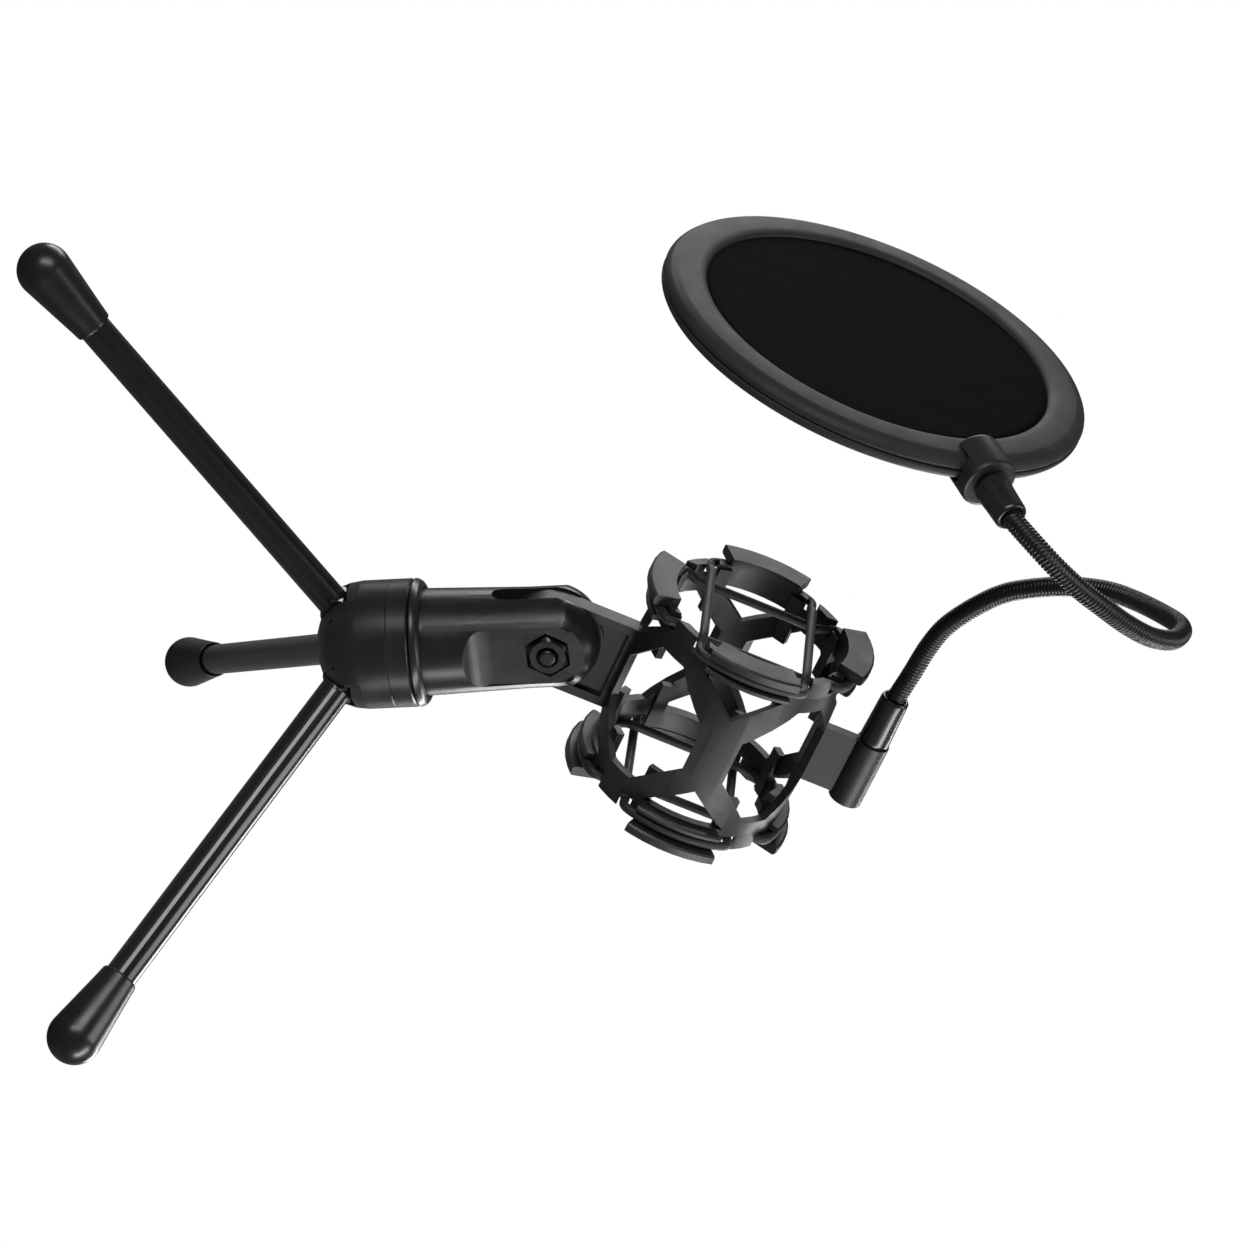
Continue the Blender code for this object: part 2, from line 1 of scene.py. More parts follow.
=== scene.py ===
"""Looks for the desktop microphone stand with pop filter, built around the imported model."""
from math import cos, pi, radians, sin, sqrt

import bmesh
import bpy
from mathutils import Matrix, Vector


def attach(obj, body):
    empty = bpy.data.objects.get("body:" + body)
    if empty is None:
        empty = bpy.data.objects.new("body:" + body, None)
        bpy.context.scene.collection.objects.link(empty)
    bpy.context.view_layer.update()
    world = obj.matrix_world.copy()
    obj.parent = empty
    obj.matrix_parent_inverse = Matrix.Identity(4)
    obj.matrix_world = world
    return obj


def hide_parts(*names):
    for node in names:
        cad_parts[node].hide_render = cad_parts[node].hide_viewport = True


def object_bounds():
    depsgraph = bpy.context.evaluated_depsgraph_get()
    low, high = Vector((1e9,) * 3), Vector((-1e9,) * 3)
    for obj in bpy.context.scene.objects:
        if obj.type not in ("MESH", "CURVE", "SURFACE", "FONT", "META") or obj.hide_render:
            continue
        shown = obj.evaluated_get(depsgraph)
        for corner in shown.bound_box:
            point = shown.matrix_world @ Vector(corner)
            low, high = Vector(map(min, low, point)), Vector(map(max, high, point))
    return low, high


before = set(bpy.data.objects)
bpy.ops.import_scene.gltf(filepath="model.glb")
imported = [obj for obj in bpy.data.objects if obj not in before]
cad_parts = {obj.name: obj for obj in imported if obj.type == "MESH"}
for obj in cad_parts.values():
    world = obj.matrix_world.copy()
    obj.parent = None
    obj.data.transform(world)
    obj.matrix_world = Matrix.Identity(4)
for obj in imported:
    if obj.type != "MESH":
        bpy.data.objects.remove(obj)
cad_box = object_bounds()

MM = 0.001

# the same driving sizes as the model, in millimetres
HUB_R = 18.1
HUB_TOP_Z = 96.2
COLLAR_TOP_Z = 99.3
COLLAR_IN = 15.45
LEG_AZIMUTHS = {"left": 180.0, "front": 300.0, "rear": 60.0}
LEG_PIVOT_R = 12.0
LEG_PIVOT_Z = 75.5
LEG_TUBE_R = 4.5
FOOT_R = 120.0
BALL_R = 7.6
BOOT_START = -20.9  # where the boot's open end lies, from the ball's centre
PIVOT_Z = 134.3
TILT = 27.9
NUT_R = 6.1
NUT_BORE = 2.75
CAGE_DIST = 51.0
BAND_R = 1.3
BAND_Z = 27.0
BAND_ARC_R = 30.6
BAND_LIFT = 1.5  # the two loops of a pair pass this far above and below each other
CHORD = 15.4
SOCKET_X = 44.4
NECK_R = 2.8
FERRULE_BORE = NECK_R + 0.3
FERRULE_PEG = 2.5
FILTER_CENTRE = Vector((-85.1, 0.0, 230.7))
FILTER_TURN = -2.0
FILTER_R = 61.0
FILTER_IN = 49.4
RIM_HALF = 4.1
MESH_Z = 2.6
BLOCK_ANGLE = 57.3
BLOCK_LEAN = 6.9
BLOCK_SEAT = 4.0  # how far inside the rim's edge the block's axis starts

# fine detail that only the visible pieces have, in millimetres
HUB_SEAM_Z = 90.2
SEAM_DEPTH = 0.16
SPIRAL_PITCH = 1.05
SPIRAL_DEPTH = 0.34
GAUZE_R = FILTER_IN - 0.02
GAUZE_SLACK = 0.05
GAUZE_THICK = 0.12

# the stage, in metres
FLOOR_HALF = 30.0
FLOOR_GAP = 0.0002

# soft boxes: turn to the right of the light axes (degrees), rise, distance, size (m), watts
LIGHTS = (
    ("left_box", -38.0, -0.10, 1.0, (0.30, 1.1), 7.5),
    ("right_box", 74.0, 0.05, 0.9, (0.22, 1.3), 11.0),
    ("left_rim", -125.0, 0.10, 0.9, (0.30, 1.0), 5.0),
    ("right_rim", 140.0, 0.25, 0.9, (0.25, 1.0), 8.0),
    ("overhead", 35.0, 1.05, 0.45, (0.8, 0.4), 4.5),
)
LIGHT_AZIMUTH = -28.7
LIGHT_ELEVATION = 12.56
LIGHT_TARGET = (0.0, 0.0, 0.16)
ROOM_LIGHT = 0.10
FLOOR_BOUNCE = (0.16, 0.16, 0.16)

# camera: degrees round and above the stand, metres away, and metres along the picture's own
# axes; its up is the stand's left-hand side, so the stand lies with its legs to the left
CAM_AZIMUTH = -28.5034
CAM_ELEVATION = 6.3815
CAM_ROLL = 2.5831
CAM_DISTANCE = 1.44838
CAM_LENS = 148.42
CAM_ASIDE = (0.153, 0.01015)


# ---------------------------------------------------------------- frames


def at(origin, z_axis, x_hint):
    """Matrix with local z along z_axis and local x near x_hint; origin in mm."""
    z = Vector(z_axis).normalized()
    y = z.cross(Vector(x_hint)).normalized()
    rot = Matrix((y.cross(z), y, z)).transposed().to_4x4()
    return Matrix.Translation(Vector(origin) * MM) @ rot


TONGUE = Vector((sin(radians(TILT)), 0.0, cos(radians(TILT))))
MIC = Vector((-cos(radians(TILT)), 0.0, sin(radians(TILT))))
HEAD = at(Vector((0, 0, PIVOT_Z)) + CAGE_DIST * TONGUE, MIC, TONGUE)
FILTER_ROT = Matrix.Rotation(radians(FILTER_TURN), 3, "Y")
FACE = at(FILTER_CENTRE, FILTER_ROT @ MIC, FILTER_ROT @ TONGUE)


def block_frame():
    """Frame of the mounting block: z out of the rim and leaning back, x off the filter's face."""
    a = radians(-BLOCK_ANGLE)
    rot = FACE.to_3x3()
    radial = rot @ Vector((cos(a), sin(a), 0.0))
    normal = rot @ Vector((0, 0, 1))
    lean = radians(BLOCK_LEAN)
    out = radial * cos(lean) - normal * sin(lean)
    return at(FILTER_CENTRE + radial * (FILTER_R - BLOCK_SEAT), out, normal)


BLOCK = block_frame()


def point(matrix, xyz):
    """A point given in mm in a part's frame, in metres in the stand's."""
    return matrix @ (Vector(xyz) * MM)


# ---------------------------------------------------------------- materials


def new_material(name):
    """A material, its node tree and its shader."""
    mat = bpy.data.materials.new(name)
    mat.use_nodes = True
    tree = mat.node_tree
    return mat, tree, tree.nodes["Principled BSDF"]


def link(tree, a, b):
    tree.links.new(a, b)


def noise(tree, coords, scale, detail=3.0, rough=0.5):
    node = tree.nodes.new("ShaderNodeTexNoise")
    node.inputs["Scale"].default_value = scale
    node.inputs["Detail"].default_value = detail
    node.inputs["Roughness"].default_value = rough
    link(tree, coords, node.inputs["Vector"])
    return node.outputs["Fac"]


def spread(tree, value, low, high, from_low=0.3, from_high=0.7):
    """The value's middle range stretched over low to high."""
    node = tree.nodes.new("ShaderNodeMapRange")
    node.inputs["From Min"].default_value = from_low
    node.inputs["From Max"].default_value = from_high
    node.inputs["To Min"].default_value = low
    node.inputs["To Max"].default_value = high
    link(tree, value, node.inputs["Value"])
    return node.outputs["Result"]


def bump(tree, height, strength, distance, before=None):
    node = tree.nodes.new("ShaderNodeBump")
    node.inputs["Strength"].default_value = strength
    node.inputs["Distance"].default_value = distance
    link(tree, height, node.inputs["Height"])
    if before is not None:
        link(tree, before, node.inputs["Normal"])
    return node.outputs["Normal"]


def tinted(tree, value, dark, light):
    ramp = tree.nodes.new("ShaderNodeValToRGB")
    ramp.color_ramp.elements[0].position = 0.35
    ramp.color_ramp.elements[0].color = (*dark, 1.0)
    ramp.color_ramp.elements[1].position = 0.65
    ramp.color_ramp.elements[1].color = (*light, 1.0)
    link(tree, value, ramp.inputs["Fac"])
    return ramp.outputs["Color"]


def surface(name, colour, rough, vary=0.05, grain=1800.0, grain_depth=0.35, metallic=0.0,
            coat=0.0, specular=0.5, mottle=0.12, wear=0.0):
    """Moulded, painted or rubber surface: fine grain, soft blotches in colour and gloss."""
    mat, tree, shader = new_material(name)
    coords = tree.nodes.new("ShaderNodeTexCoord").outputs["Object"]
    broad = noise(tree, coords, 45.0, 4.0)
    dark = [c * (1.0 - mottle) for c in colour]
    light = [c * (1.0 + mottle) for c in colour]
    base = tinted(tree, broad, dark, light)
    if wear > 0.0:
        edge = tree.nodes.new("ShaderNodeNewGeometry").outputs["Pointiness"]
        amount = spread(tree, edge, 0.0, wear, 0.52, 0.62)
        mix = tree.nodes.new("ShaderNodeMixRGB")
        link(tree, amount, mix.inputs["Fac"])
        link(tree, base, mix.inputs["Color1"])
        mix.inputs["Color2"].default_value = (*[min(1.0, c * 3.2 + 0.01) for c in colour], 1.0)
        base = mix.outputs["Color"]
    link(tree, base, shader.inputs["Base Color"])
    smudge = noise(tree, coords, 130.0, 5.0, 0.6)
    link(tree, spread(tree, smudge, rough - vary, rough + vary), shader.inputs["Roughness"])
    fine = noise(tree, coords, grain, 2.0)
    link(tree, bump(tree, fine, grain_depth, 0.00006), shader.inputs["Normal"])
    shader.inputs["Metallic"].default_value = metallic
    shader.inputs["Coat Weight"].default_value = coat
    shader.inputs["Coat Roughness"].default_value = 0.18
    shader.inputs["Specular IOR Level"].default_value = specular
    return mat


def wave(tree, coords, direction, scale, distortion=0.0):
    node = tree.nodes.new("ShaderNodeTexWave")
    node.wave_type = "BANDS"
    node.bands_direction = direction
    node.inputs["Scale"].default_value = scale
    node.inputs["Distortion"].default_value = distortion
    link(tree, coords, node.inputs["Vector"])
    return node.outputs["Fac"]


def woven_mesh(name):
    """Fine black nylon gauze: two sets of threads in the disc's own plane."""
    mat, tree, shader = new_material(name)
    coords = tree.nodes.new("ShaderNodeUVMap").outputs["UV"]
    across = wave(tree, coords, "X", 0.55, 0.3)
    along = wave(tree, coords, "Y", 0.55, 0.3)
    peak = tree.nodes.new("ShaderNodeMath")
    peak.operation = "MAXIMUM"
    link(tree, across, peak.inputs[0])
    link(tree, along, peak.inputs[1])
    link(tree, tinted(tree, peak.outputs[0], (0.0004, 0.0004, 0.0004), (0.0022, 0.0022, 0.0023)),
         shader.inputs["Base Color"])
    normal = bump(tree, peak.outputs[0], 0.5, 0.00008)
    folds = wave(tree, coords, "Y", 0.02, 2.5)
    link(tree, bump(tree, folds, 0.2, 0.0002, normal), shader.inputs["Normal"])
    shader.inputs["Roughness"].default_value = 0.85
    shader.inputs["Specular IOR Level"].default_value = 0.04
    return mat


def elastic(name):
    """Braided elastic: short diagonal plaits along the loop's own length."""
    mat, tree, shader = new_material(name)
    coords = tree.nodes.new("ShaderNodeUVMap").outputs["UV"]
    plait = wave(tree, coords, "DIAGONAL", 1.3)
    link(tree, tinted(tree, plait, (0.004, 0.004, 0.0045), (0.011, 0.011, 0.012)),
         shader.inputs["Base Color"])
    link(tree, bump(tree, plait, 0.5, 0.00012), shader.inputs["Normal"])
    shader.inputs["Roughness"].default_value = 0.5
    shader.inputs["Sheen Weight"].default_value = 0.15
    return mat


MATS = {
    "shell": surface("satin moulding", (0.012, 0.012, 0.0125), 0.31, wear=0.2),
    "cage": surface("cage moulding", (0.013, 0.013, 0.0135), 0.42, specular=0.36, wear=0.25),
    "tube": surface("painted tube", (0.008, 0.008, 0.0085), 0.22, vary=0.01, grain=900.0,
                    grain_depth=0.02, coat=0.3),
    "steel": surface("black steel", (0.035, 0.035, 0.036), 0.30, vary=0.06, grain=1200.0,
                     grain_depth=0.2, metallic=0.9, wear=0.4),
    "rubber": surface("smooth rubber", (0.009, 0.009, 0.0095), 0.30, grain=1400.0,
                      grain_depth=0.2),
    "ferrule": surface("satin ferrule", (0.010, 0.010, 0.0105), 0.27, vary=0.02, grain=1500.0,
                       grain_depth=0.04, coat=0.2),
    "neck": surface("spiral neck", (0.008, 0.008, 0.0085), 0.36, vary=0.07, grain=1500.0,
                    grain_depth=0.2, metallic=0.2),
    "rim": surface("rim moulding", (0.024, 0.0245, 0.026), 0.55, grain=2200.0, specular=0.22,
                   wear=0.15),
    "lug": surface("lug moulding", (0.014, 0.014, 0.0145), 0.42, grain_depth=0.3,
                   specular=0.35, wear=0.15),
    "gauze": woven_mesh("nylon gauze"),
    "elastic": elastic("braided elastic"),
}


# ---------------------------------------------------------------- geometry helpers


def finish_piece(ob, mat, body, node, angle=32.0):
    """Shades the piece and puts it in the node's place, on the node's body."""
    ob.data.materials.clear()
    ob.data.materials.append(mat)
    ob.data.shade_smooth()
    ob.data.set_sharp_from_angle(angle=radians(angle))
    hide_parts(node)
    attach(ob, body)


def to_object(name, bm, matrix=Matrix.Identity(4)):
    mesh = bpy.data.meshes.new(name)
    bm.to_mesh(mesh)
    bm.free()
    ob = bpy.data.objects.new(name, mesh)
    bpy.context.scene.collection.objects.link(ob)
    ob.matrix_world = matrix
    return ob


def refined(node, mat, body, width, segments=2, angle=28.0):
    """The node's own solid with its hard edges rounded."""
    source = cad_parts[node]
    mesh = source.data.copy()
    bm = bmesh.new()
    bm.from_mesh(mesh)
    bmesh.ops.transform(bm, matrix=source.matrix_world, verts=bm.verts)
    bmesh.ops.remove_doubles(bm, verts=bm.verts, dist=0.000004)
    bmesh.ops.dissolve_limit(bm, angle_limit=radians(0.3), verts=bm.verts, edges=bm.edges)
    ob = to_object(node + "_fine", bm)
    bpy.data.meshes.remove(mesh)
    bev = ob.modifiers.new("edges", "BEVEL")
    bev.width = width * MM
    bev.segments = segments
    bev.limit_method = "ANGLE"
    bev.angle_limit = radians(angle)
    finish_piece(ob, mat, body, node, 28.0)
    normals = ob.modifiers.new("shading", "WEIGHTED_NORMAL")
    normals.keep_sharp = True
    return ob


def fillet(profile, radius, steps=3, closed=False):
    """Profile corners rounded by short quadratic arcs."""
    pts = [Vector(p) for p in profile]
    count = len(pts)
    out = []
    for i, here in enumerate(pts):
        if not closed and i in (0, count - 1):
            out.append(here)
            continue
        before, after = pts[i - 1], pts[(i + 1) % count]
        back, ahead = before - here, after - here
        reach = min(radius, back.length * 0.45, ahead.length * 0.45)
        bend = back.angle(-ahead) if back.length * ahead.length > 0 else 0.0
        if reach < 0.01 or bend < radians(6):
            out.append(here)
            continue
        a, b = here + back.normalized() * reach, here + ahead.normalized() * reach
        for k in range(steps + 1):
            t = k / steps
            out.append(a * (1 - t) ** 2 + here * 2 * t * (1 - t) + b * t * t)
    return [(p.x, p.y) for p in out]


def turned(name, profile, matrix, steps=96, closed=False):
    """Solid turned about local z from a (radius, height) profile in mm."""
    bm = bmesh.new()
    rings = []
    for r, z in profile:
        if r < 1e-6:
            rings.append([bm.verts.new((0, 0, z * MM))])
        else:
            rings.append([bm.verts.new((r * MM * cos(2 * pi * k / steps),
                                        r * MM * sin(2 * pi * k / steps), z * MM))
                          for k in range(steps)])
    pairs = list(zip(rings, rings[1:]))
    if closed:
        pairs.append((rings[-1], rings[0]))
    for upper, lower in pairs:
        for k in range(steps):
            j = (k + 1) % steps
            corners = [upper[k % len(upper)], upper[j % len(upper)],
                       lower[j % len(lower)], lower[k % len(lower)]]
            unique = list(dict.fromkeys(corners))
            if len(unique) > 2:
                bm.faces.new(unique)
    bmesh.ops.recalc_face_normals(bm, faces=bm.faces)
    return to_object(name, bm, matrix)


def smooth_path(points, per_span, cyclic=False):
    """Catmull-Rom points through the given ones."""
    pts = [Vector(p) for p in points]
    if cyclic:
        pts = [pts[-1]] + pts + pts[:2]
    else:
        pts = [2 * pts[0] - pts[1]] + pts + [2 * pts[-1] - pts[-2]]
    out = []
    for i in range(1, len(pts) - 2):
        a, b, c, d = pts[i - 1:i + 3]
        for k in range(per_span):
            t = k / per_span
            out.append(0.5 * (2 * b + (c - a) * t + (2 * a - 5 * b + 4 * c - d) * t * t
                              + (3 * b - a - 3 * c + d) * t ** 3))
    if not cyclic:
        out.append(pts[-2])
    return out


def even(points, spacing, cyclic=False):
    """The same path with points a fixed distance apart, and its length."""
    pts = points + [points[0]] if cyclic else points
    lengths = [0.0]
    for a, b in zip(pts, pts[1:]):
        lengths.append(lengths[-1] + (b - a).length)
    total = lengths[-1]
    count = max(4, round(total / spacing))
    out = []
    k = 0
    for i in range(count if cyclic else count + 1):
        s = total * i / count
        while k < len(pts) - 2 and lengths[k + 1] < s:
            k += 1
        t = (s - lengths[k]) / max(1e-12, lengths[k + 1] - lengths[k])
        out.append(pts[k].lerp(pts[k + 1], t))
    return out, total


def swept(name, path, radius_at, sides, cyclic, matrix, uv_scale=(1.0, 1.0)):
    """Tube along path in mm; radius_at(distance, angle) gives its surface."""
    count = len(path)
    tangents = []
    for i in range(count):
        a = path[(i - 1) % count] if cyclic or i > 0 else path[0]
        b = path[(i + 1) % count] if cyclic or i < count - 1 else path[-1]
        tangents.append((b - a).normalized())
    side = tangents[0].orthogonal().normalized()
    sides_at = []
    for t in tangents:
        side = (side - t * side.dot(t)).normalized()
        sides_at.append(side.copy())
    twist = 0.0
    if cyclic:
        last, first, t = sides_at[-1], sides_at[0], tangents[0]
        last = (last - t * last.dot(t)).normalized()
        twist = -last.angle(first) * (1 if last.cross(first).dot(t) < 0 else -1)
    bm = bmesh.new()
    layer = bm.loops.layers.uv.new("UVMap")
    distance, rings = 0.0, []
    for i, (p, t, s) in enumerate(zip(path, tangents, sides_at)):
        if i:
            distance += (p - path[i - 1]).length
        other = t.cross(s)
        shift = -twist * i / count
        ring = []
        for k in range(sides):
            a = 2 * pi * k / sides
            r = radius_at(distance, a)
            ring.append(bm.verts.new((p + (s * cos(a + shift) + other * sin(a + shift)) * r) * MM))
        rings.append((distance, ring))
    for i in range(count if cyclic else count - 1):
        (d0, lower), (d1, upper) = rings[i], rings[(i + 1) % count]
        if d1 < d0:
            d1 = d0 + (path[0] - path[-1]).length
        for k in range(sides):
            j = (k + 1) % sides
            face = bm.faces.new((lower[k], lower[j], upper[j], upper[k]))
            for loop, (u, v) in zip(face.loops, ((k, d0), (k + 1, d0), (k + 1, d1), (k, d1))):
                loop[layer].uv = (u / sides * uv_scale[0], v * uv_scale[1])
    if not cyclic:
        bm.faces.new(list(reversed(rings[0][1])))
        bm.faces.new(rings[-1][1])
    bmesh.ops.recalc_face_normals(bm, faces=bm.faces)
    return to_object(name, bm, matrix)


# ---------------------------------------------------------------- pieces


def make_hub():
    """The hub with its moulding seam pressed in as a fine groove."""
    hub = refined("hub", MATS["shell"], "base", 0.45)
    bm = bmesh.new()
    bm.from_mesh(hub.data)
    for step in (-SEAM_DEPTH, 0.0, SEAM_DEPTH):
        bmesh.ops.bisect_plane(bm, geom=list(bm.verts) + list(bm.edges) + list(bm.faces),
                               plane_co=(0, 0, (HUB_SEAM_Z + step) * MM), plane_no=(0, 0, 1))
    for v in bm.verts:
        radius = v.co.xy.length / MM
        if abs(v.co.z / MM - HUB_SEAM_Z) < 0.01 and radius > HUB_R - 0.3:
            v.co.xy *= (radius - SEAM_DEPTH) / radius
    bm.to_mesh(hub.data)
    bm.free()


def make_collar():
    low = HUB_TOP_Z + 0.3
    section = [(COLLAR_IN, COLLAR_TOP_Z), (16.4, COLLAR_TOP_Z), (17.4, COLLAR_TOP_Z - 0.7),
               (18.0, COLLAR_TOP_Z - 1.8), (HUB_R, low + 0.3), (17.8, low), (COLLAR_IN, low)]
    ring = turned("collar_ring_fine", fillet(section, 0.35, 3, True), Matrix.Identity(4), 128,
                  True)
    finish_piece(ring, MATS["shell"], "base", "collar_ring")


def make_tripod():
    """Three legs out of the hub, each with its rubber foot."""
    run, drop = FOOT_R - LEG_PIVOT_R, BALL_R - LEG_PIVOT_Z
    length = sqrt(run * run + drop * drop)
    axis = Vector((run, 0.0, drop)) / length
    arc = [(BALL_R * sin(radians(t)), BALL_R * cos(radians(t))) for t in range(0, 97, 4)]
    boot_bore = LEG_TUBE_R + 0.3
    boot = [(5.6, -17.6), (5.35, -20.3), (5.2, BOOT_START), (boot_bore, BOOT_START),
            (boot_bore, -7.0), (0.0, -7.0)]
    for name, azimuth in LEG_AZIMUTHS.items():
        body = "leg_" + name
        turn = Matrix.Rotation(radians(azimuth), 4, "Z")
        centre = Vector((LEG_PIVOT_R, 0, LEG_PIVOT_Z)) + axis * length
        foot = turned(f"foot_{name}_fine", arc + fillet(boot, 0.3),
                      turn @ at(centre, axis, (0, 0, 1)), 64)
        finish_piece(foot, MATS["rubber"], body, "foot_" + name, angle=50.0)
        refined("leg_" + name, MATS["tube"], body, 0.35)
        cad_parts["leg_pin_" + name].data.materials[0] = MATS["steel"]


def make_nut():
    """Hexagon nut with turned chamfers on both its faces."""
    steps, flat_r, inner, outer = 96, NUT_R * cos(pi / 6), 8.7, 12.3
    profile = [(NUT_BORE, inner + 0.2), (NUT_BORE + 0.3, inner), (5.0, inner), (9.0, 9.5),
               (9.0, 11.4), (5.05, 12.2), (4.9, outer), (NUT_BORE + 0.45, outer),
               (NUT_BORE, 11.9)]
    bm = bmesh.new()
    rings = []
    for cap, z in profile:
        ring = []
        for k in range(steps):
            a = 2 * pi * k / steps
            off = (a + pi / 6) % (pi / 3) - pi / 6
            r = min(flat_r / cos(off), cap)
            ring.append(bm.verts.new((r * cos(a) * MM, r * sin(a) * MM, z * MM)))
        rings.append(ring)
    for upper, lower in zip(rings, rings[1:] + rings[:1]):
        for k in range(steps):
            j = (k + 1) % steps
            bm.faces.new((upper[k], upper[j], lower[j], lower[k]))
    bmesh.ops.recalc_face_normals(bm, faces=bm.faces)
    nut = to_object("pivot_nut_fine", bm, at((0, 0, PIVOT_Z), (0, -1, 0), (0, 0, 1)))
    finish_piece(nut, MATS["steel"], "base", "pivot_nut", angle=25.0)


def make_clevis():
    refined("clevis_tube", MATS["shell"], "base", 0.55, 3)
    make_nut()
    refined("pivot_bolt", MATS["steel"], "base", 0.2, 2)


def make_cage():
    refined("cage", MATS["cage"], "head", 0.32, 2)


def band_path(sign, rise):
    """One loop: round two pads of the cage, and straight across its middle between them."""
    arc = [(BAND_ARC_R * cos(radians(a)), BAND_ARC_R * sin(radians(a)), 0.0) for a in
           range(-27, 28, 6)]
    corner = [(25.9, 15.45, 0.0), (24.3, 15.65, 0.0), (22.0, CHORD + 0.05, 0.0)]
    run = [(x, CHORD, 1.0) for x in (18.0, 10.0, 0.0, -10.0, -18.0)]
    back = [(-x, y, k) for x, y, k in reversed(corner)]
    half = arc + corner + run + back
    full = half + [(-x, -y, k) for x, y, k in half]
    return [(x, y, sign * BAND_Z + rise * k) for x, y, k in full]


def make_bands():
    """Two elastic loops at each end of the cage, a quarter turn apart."""
    quarter = Matrix.Rotation(pi / 2, 4, "Z")
    for sign, label in ((1, "top"), (-1, "bottom")):
        for which, rise, turn in (("a", -BAND_LIFT, Matrix.Identity(4)),
                                  ("b", BAND_LIFT, quarter)):
            node = f"band_{label}_{which}"
            path, _ = even(smooth_path(band_path(sign, rise * sign), 6, True), 0.9, True)
            ob = swept(node + "_fine", path, lambda d, a: BAND_R, 16, True, HEAD @ turn,
                       (4.0, 0.6))
            finish_piece(ob, MATS["elastic"], "head", node, angle=80.0)


def ferrule(name, profile, matrix):
    ob = turned(name + "_fine", fillet(profile, 0.35), matrix, 72)
    finish_piece(ob, MATS["ferrule"], "neck", name)


def make_neck():
    """The gooseneck's route from the cage's socket round its loop to the block, and its ends."""
    at_socket = HEAD @ at((SOCKET_X, 0, 0), (0, 0, 1), (1, 0, 0))
    ferrule("ferrule_lower",
            [(0.0, 11.0), (FERRULE_BORE, 11.0), (FERRULE_BORE, 22.7), (3.8, 22.7), (4.1, 22.0),
             (4.2, 19.0), (4.45, 10.0), (4.5, 8.0), (4.3, 7.3), (FERRULE_PEG, 7.3),
             (FERRULE_PEG, -2.8), (0.0, -2.8)], at_socket)
    ferrule("ferrule_upper",
            [(0.0, 13.0), (FERRULE_BORE, 13.0), (FERRULE_BORE, 20.8), (4.0, 20.8), (4.4, 20.1),
             (4.6, 14.0), (4.9, 9.0), (4.8, 8.2), (FERRULE_PEG, 8.2), (FERRULE_PEG, 6.2),
             (0.0, 6.2)], BLOCK)
    low = [point(HEAD, (SOCKET_X, 0, z)) / MM for z in (12.0, 15.5, 19.0, 22.8)]
    high = [point(BLOCK, (0, 0, z)) / MM for z in (22.6, 20.0, 17.5, 15.0)]
    loop = [(17.2, 0.0, 234.0), (8.7, 0.0, 239.3), (2.0, -0.5, 244.8), (-4.1, -1.5, 253.0),
            (-8.9, -3.5, 261.2), (-11.5, -6.0, 269.2), (-13.3, -9.0, 277.5), (-14.6, -13.0, 285.0),
            (-15.4, -18.0, 292.0), (-15.7, -25.0, 299.0), (-16.5, -33.0, 304.6),
            (-18.0, -41.5, 308.6), (-19.4, -49.0, 309.6), (-21.9, -57.5, 306.9),
            (-27.3, -65.0, 301.4), (-34.2, -70.0, 295.4), (-41.4, -73.0, 289.4),
            (-48.0, -74.3, 283.4), (-53.9, -74.0, 278.3), (-58.8, -72.0, 273.8)]
    path, _ = even(smooth_path(low + [Vector(p) for p in loop] + high, 14), SPIRAL_PITCH / 8)

    def wound(distance, angle):
        """Radius of a wire wound round the neck, one ridge to each turn."""
        phase = (distance / SPIRAL_PITCH + angle / (2 * pi)) % 1.0
        ridge = abs(sin(pi * phase)) ** 0.6
        return NECK_R - SPIRAL_DEPTH * (1.0 - ridge)

    neck = swept("gooseneck_fine", path, wound, 28, False, Matrix.Identity(4), (4.0, 0.5))
    finish_piece(neck, MATS["neck"], "neck", "gooseneck", angle=85.0)


def rim_section(side):
    """Outline of one half of the rim; side is 1 for the front and -1 for the back."""
    high = RIM_HALF
    pts = [(FILTER_IN, 0.15), (FILTER_IN, 2.9), (FILTER_IN + 0.8, high - 0.45),
           (FILTER_IN + 2.2, high - 0.05), (FILTER_IN + 4.6, high), (FILTER_R - 3.4, high - 0.3),
           (FILTER_R - 1.3, high - 1.2), (FILTER_R - 0.25, high - 2.4), (FILTER_R, 0.8),
           (FILTER_R - 0.35, 0.15)]
    return [(r, side * z) for r, z in pts]


def gauze(name, height, sag):
    """Stretched gauze disc: hardly slack in its middle, with its own plane as UV."""
    bm = bmesh.new()
    layer = bm.loops.layers.uv.new("UVMap")
    rings, sides = 24, 96
    centre = bm.verts.new((0, 0, (height + sag) * MM))
    grid = []
    for i in range(1, rings + 1):
        r = GAUZE_R * i / rings
        z = height + sag * (1.0 - (i / rings) ** 2)
        grid.append([bm.verts.new((r * cos(2 * pi * k / sides) * MM,
                                   r * sin(2 * pi * k / sides) * MM, z * MM))
                     for k in range(sides)])
    for k in range(sides):
        bm.faces.new((centre, grid[0][k], grid[0][(k + 1) % sides]))
    for inner, outer in zip(grid, grid[1:]):
        for k in range(sides):
            j = (k + 1) % sides
            bm.faces.new((inner[k], outer[k], outer[j], inner[j]))
    for face in bm.faces:
        for loop in face.loops:
            loop[layer].uv = (loop.vert.co.x / MM, loop.vert.co.y / MM)
    ob = to_object(name, bm, FACE)
    solid = ob.modifiers.new("thread", "SOLIDIFY")
    solid.thickness = GAUZE_THICK * MM
    solid.offset = 0.0
    return ob


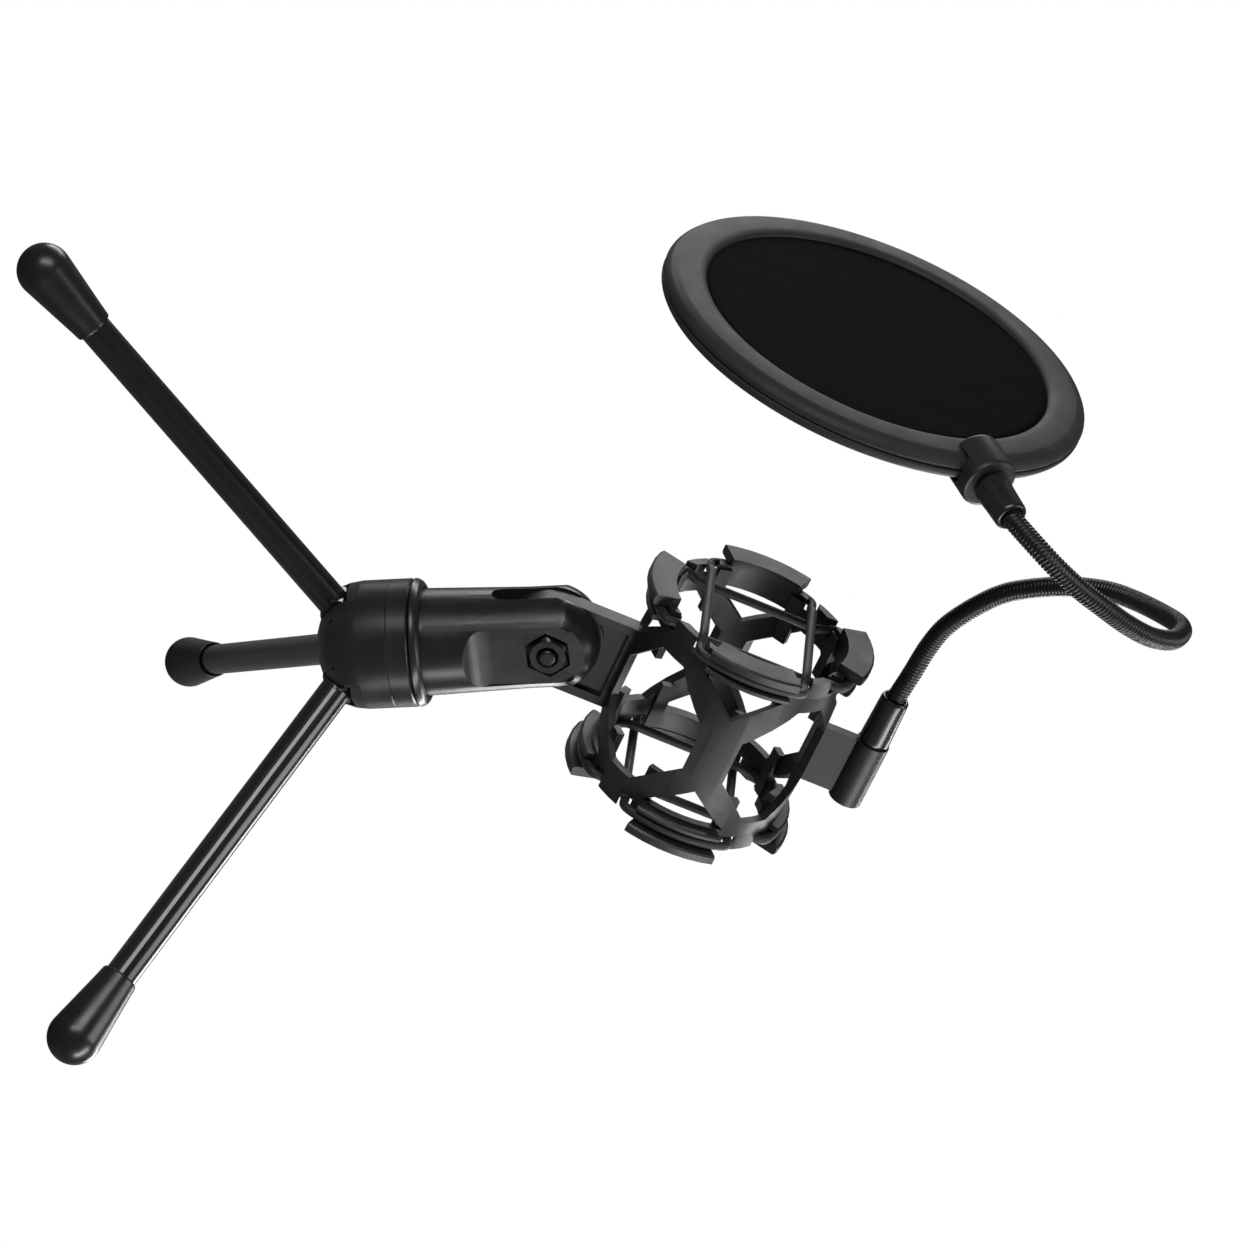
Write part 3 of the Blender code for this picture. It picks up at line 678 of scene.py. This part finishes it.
def make_filter():
    for side, label in ((1, "front"), (-1, "back")):
        rim = turned("rim_" + label + "_fine", fillet(rim_section(side), 0.5, 3, True), FACE, 192,
                     True)
        finish_piece(rim, MATS["rim"], "filter", "rim_" + label, angle=50.0)
        cloth = gauze("gauze_" + label, side * MESH_Z, side * -GAUZE_SLACK)
        finish_piece(cloth, MATS["gauze"], "filter", "mesh_" + label)
    refined("block", MATS["lug"], "filter", 0.35)


# ---------------------------------------------------------------- stage, light, camera


def make_floor():
    """Pale floor under the feet: it bounces light, and the camera sees the white room past it."""
    bm = bmesh.new()
    bmesh.ops.create_grid(bm, x_segments=1, y_segments=1, size=FLOOR_HALF)
    floor_ob = to_object("floor", bm, Matrix.Translation((0, 0, cad_box[0][2] - FLOOR_GAP)))
    mat, _, shader = new_material("white sweep")
    shader.inputs["Base Color"].default_value = (*FLOOR_BOUNCE, 1.0)
    shader.inputs["Roughness"].default_value = 0.9
    shader.inputs["Specular IOR Level"].default_value = 0.0
    floor_ob.data.materials.append(mat)
    floor_ob.visible_camera = False


def area_light(name, offset, size, energy):
    """Rectangular soft box at an offset from the lights' target, facing it."""
    light = bpy.data.lights.new(name, "AREA")
    light.shape = "RECTANGLE"
    light.size, light.size_y = size
    light.energy = energy
    ob = bpy.data.objects.new(name, light)
    bpy.context.scene.collection.objects.link(ob)
    ob.location = Vector(LIGHT_TARGET) + offset
    ob.rotation_euler = (-offset).to_track_quat("-Z", "Y").to_euler()


def view_axes(azimuth, elevation):
    """Directions back towards an observer, to their right and up."""
    a, e = radians(azimuth), radians(elevation)
    back = Vector((sin(a) * cos(e), -cos(a) * cos(e), sin(e)))
    right = (-back).cross(Vector((0, 0, 1))).normalized()
    up = right.cross(-back)
    return back, right, up


def make_camera():
    back, right, up = view_axes(CAM_AZIMUTH, CAM_ELEVATION)
    c, s = cos(radians(CAM_ROLL)), sin(radians(CAM_ROLL))
    x_axis = up * c + right * s
    y_axis = up * s - right * c
    cam = bpy.data.cameras.new("camera")
    cam.lens = CAM_LENS
    cam.sensor_width = 36.0
    cam.clip_end = 100.0
    ob = bpy.data.objects.new("camera", cam)
    bpy.context.scene.collection.objects.link(ob)
    rot = Matrix((x_axis, y_axis, back)).transposed().to_4x4()
    place = back * CAM_DISTANCE + x_axis * CAM_ASIDE[0] + y_axis * CAM_ASIDE[1]
    ob.matrix_world = Matrix.Translation(place) @ rot
    bpy.context.scene.camera = ob


def make_lights():
    """Soft boxes, and a room that is white to the camera but dim on the stand."""
    back, right, up = view_axes(LIGHT_AZIMUTH, LIGHT_ELEVATION)
    for name, angle, rise, distance, size, energy in LIGHTS:
        turn = radians(angle)
        offset = (back * cos(turn) + right * sin(turn)) * distance + up * rise
        area_light(name, offset, size, energy)
    world = bpy.data.worlds.new("studio")
    world.use_nodes = True
    tree = world.node_tree
    dim = tree.nodes["Background"]
    dim.inputs["Color"].default_value = (1.0, 1.0, 1.0, 1.0)
    dim.inputs["Strength"].default_value = ROOM_LIGHT
    bright = tree.nodes.new("ShaderNodeBackground")
    bright.inputs["Color"].default_value = (1.0, 1.0, 1.0, 1.0)
    rays = tree.nodes.new("ShaderNodeLightPath")
    mix = tree.nodes.new("ShaderNodeMixShader")
    link(tree, rays.outputs["Is Camera Ray"], mix.inputs["Fac"])
    link(tree, dim.outputs["Background"], mix.inputs[1])
    link(tree, bright.outputs["Background"], mix.inputs[2])
    link(tree, mix.outputs["Shader"], tree.nodes["World Output"].inputs["Surface"])
    bpy.context.scene.world = world
    bpy.context.scene.view_settings.view_transform = "Standard"


make_camera()
make_hub()
make_collar()
make_tripod()
make_clevis()
make_cage()
make_bands()
make_neck()
make_filter()
make_floor()
make_lights()
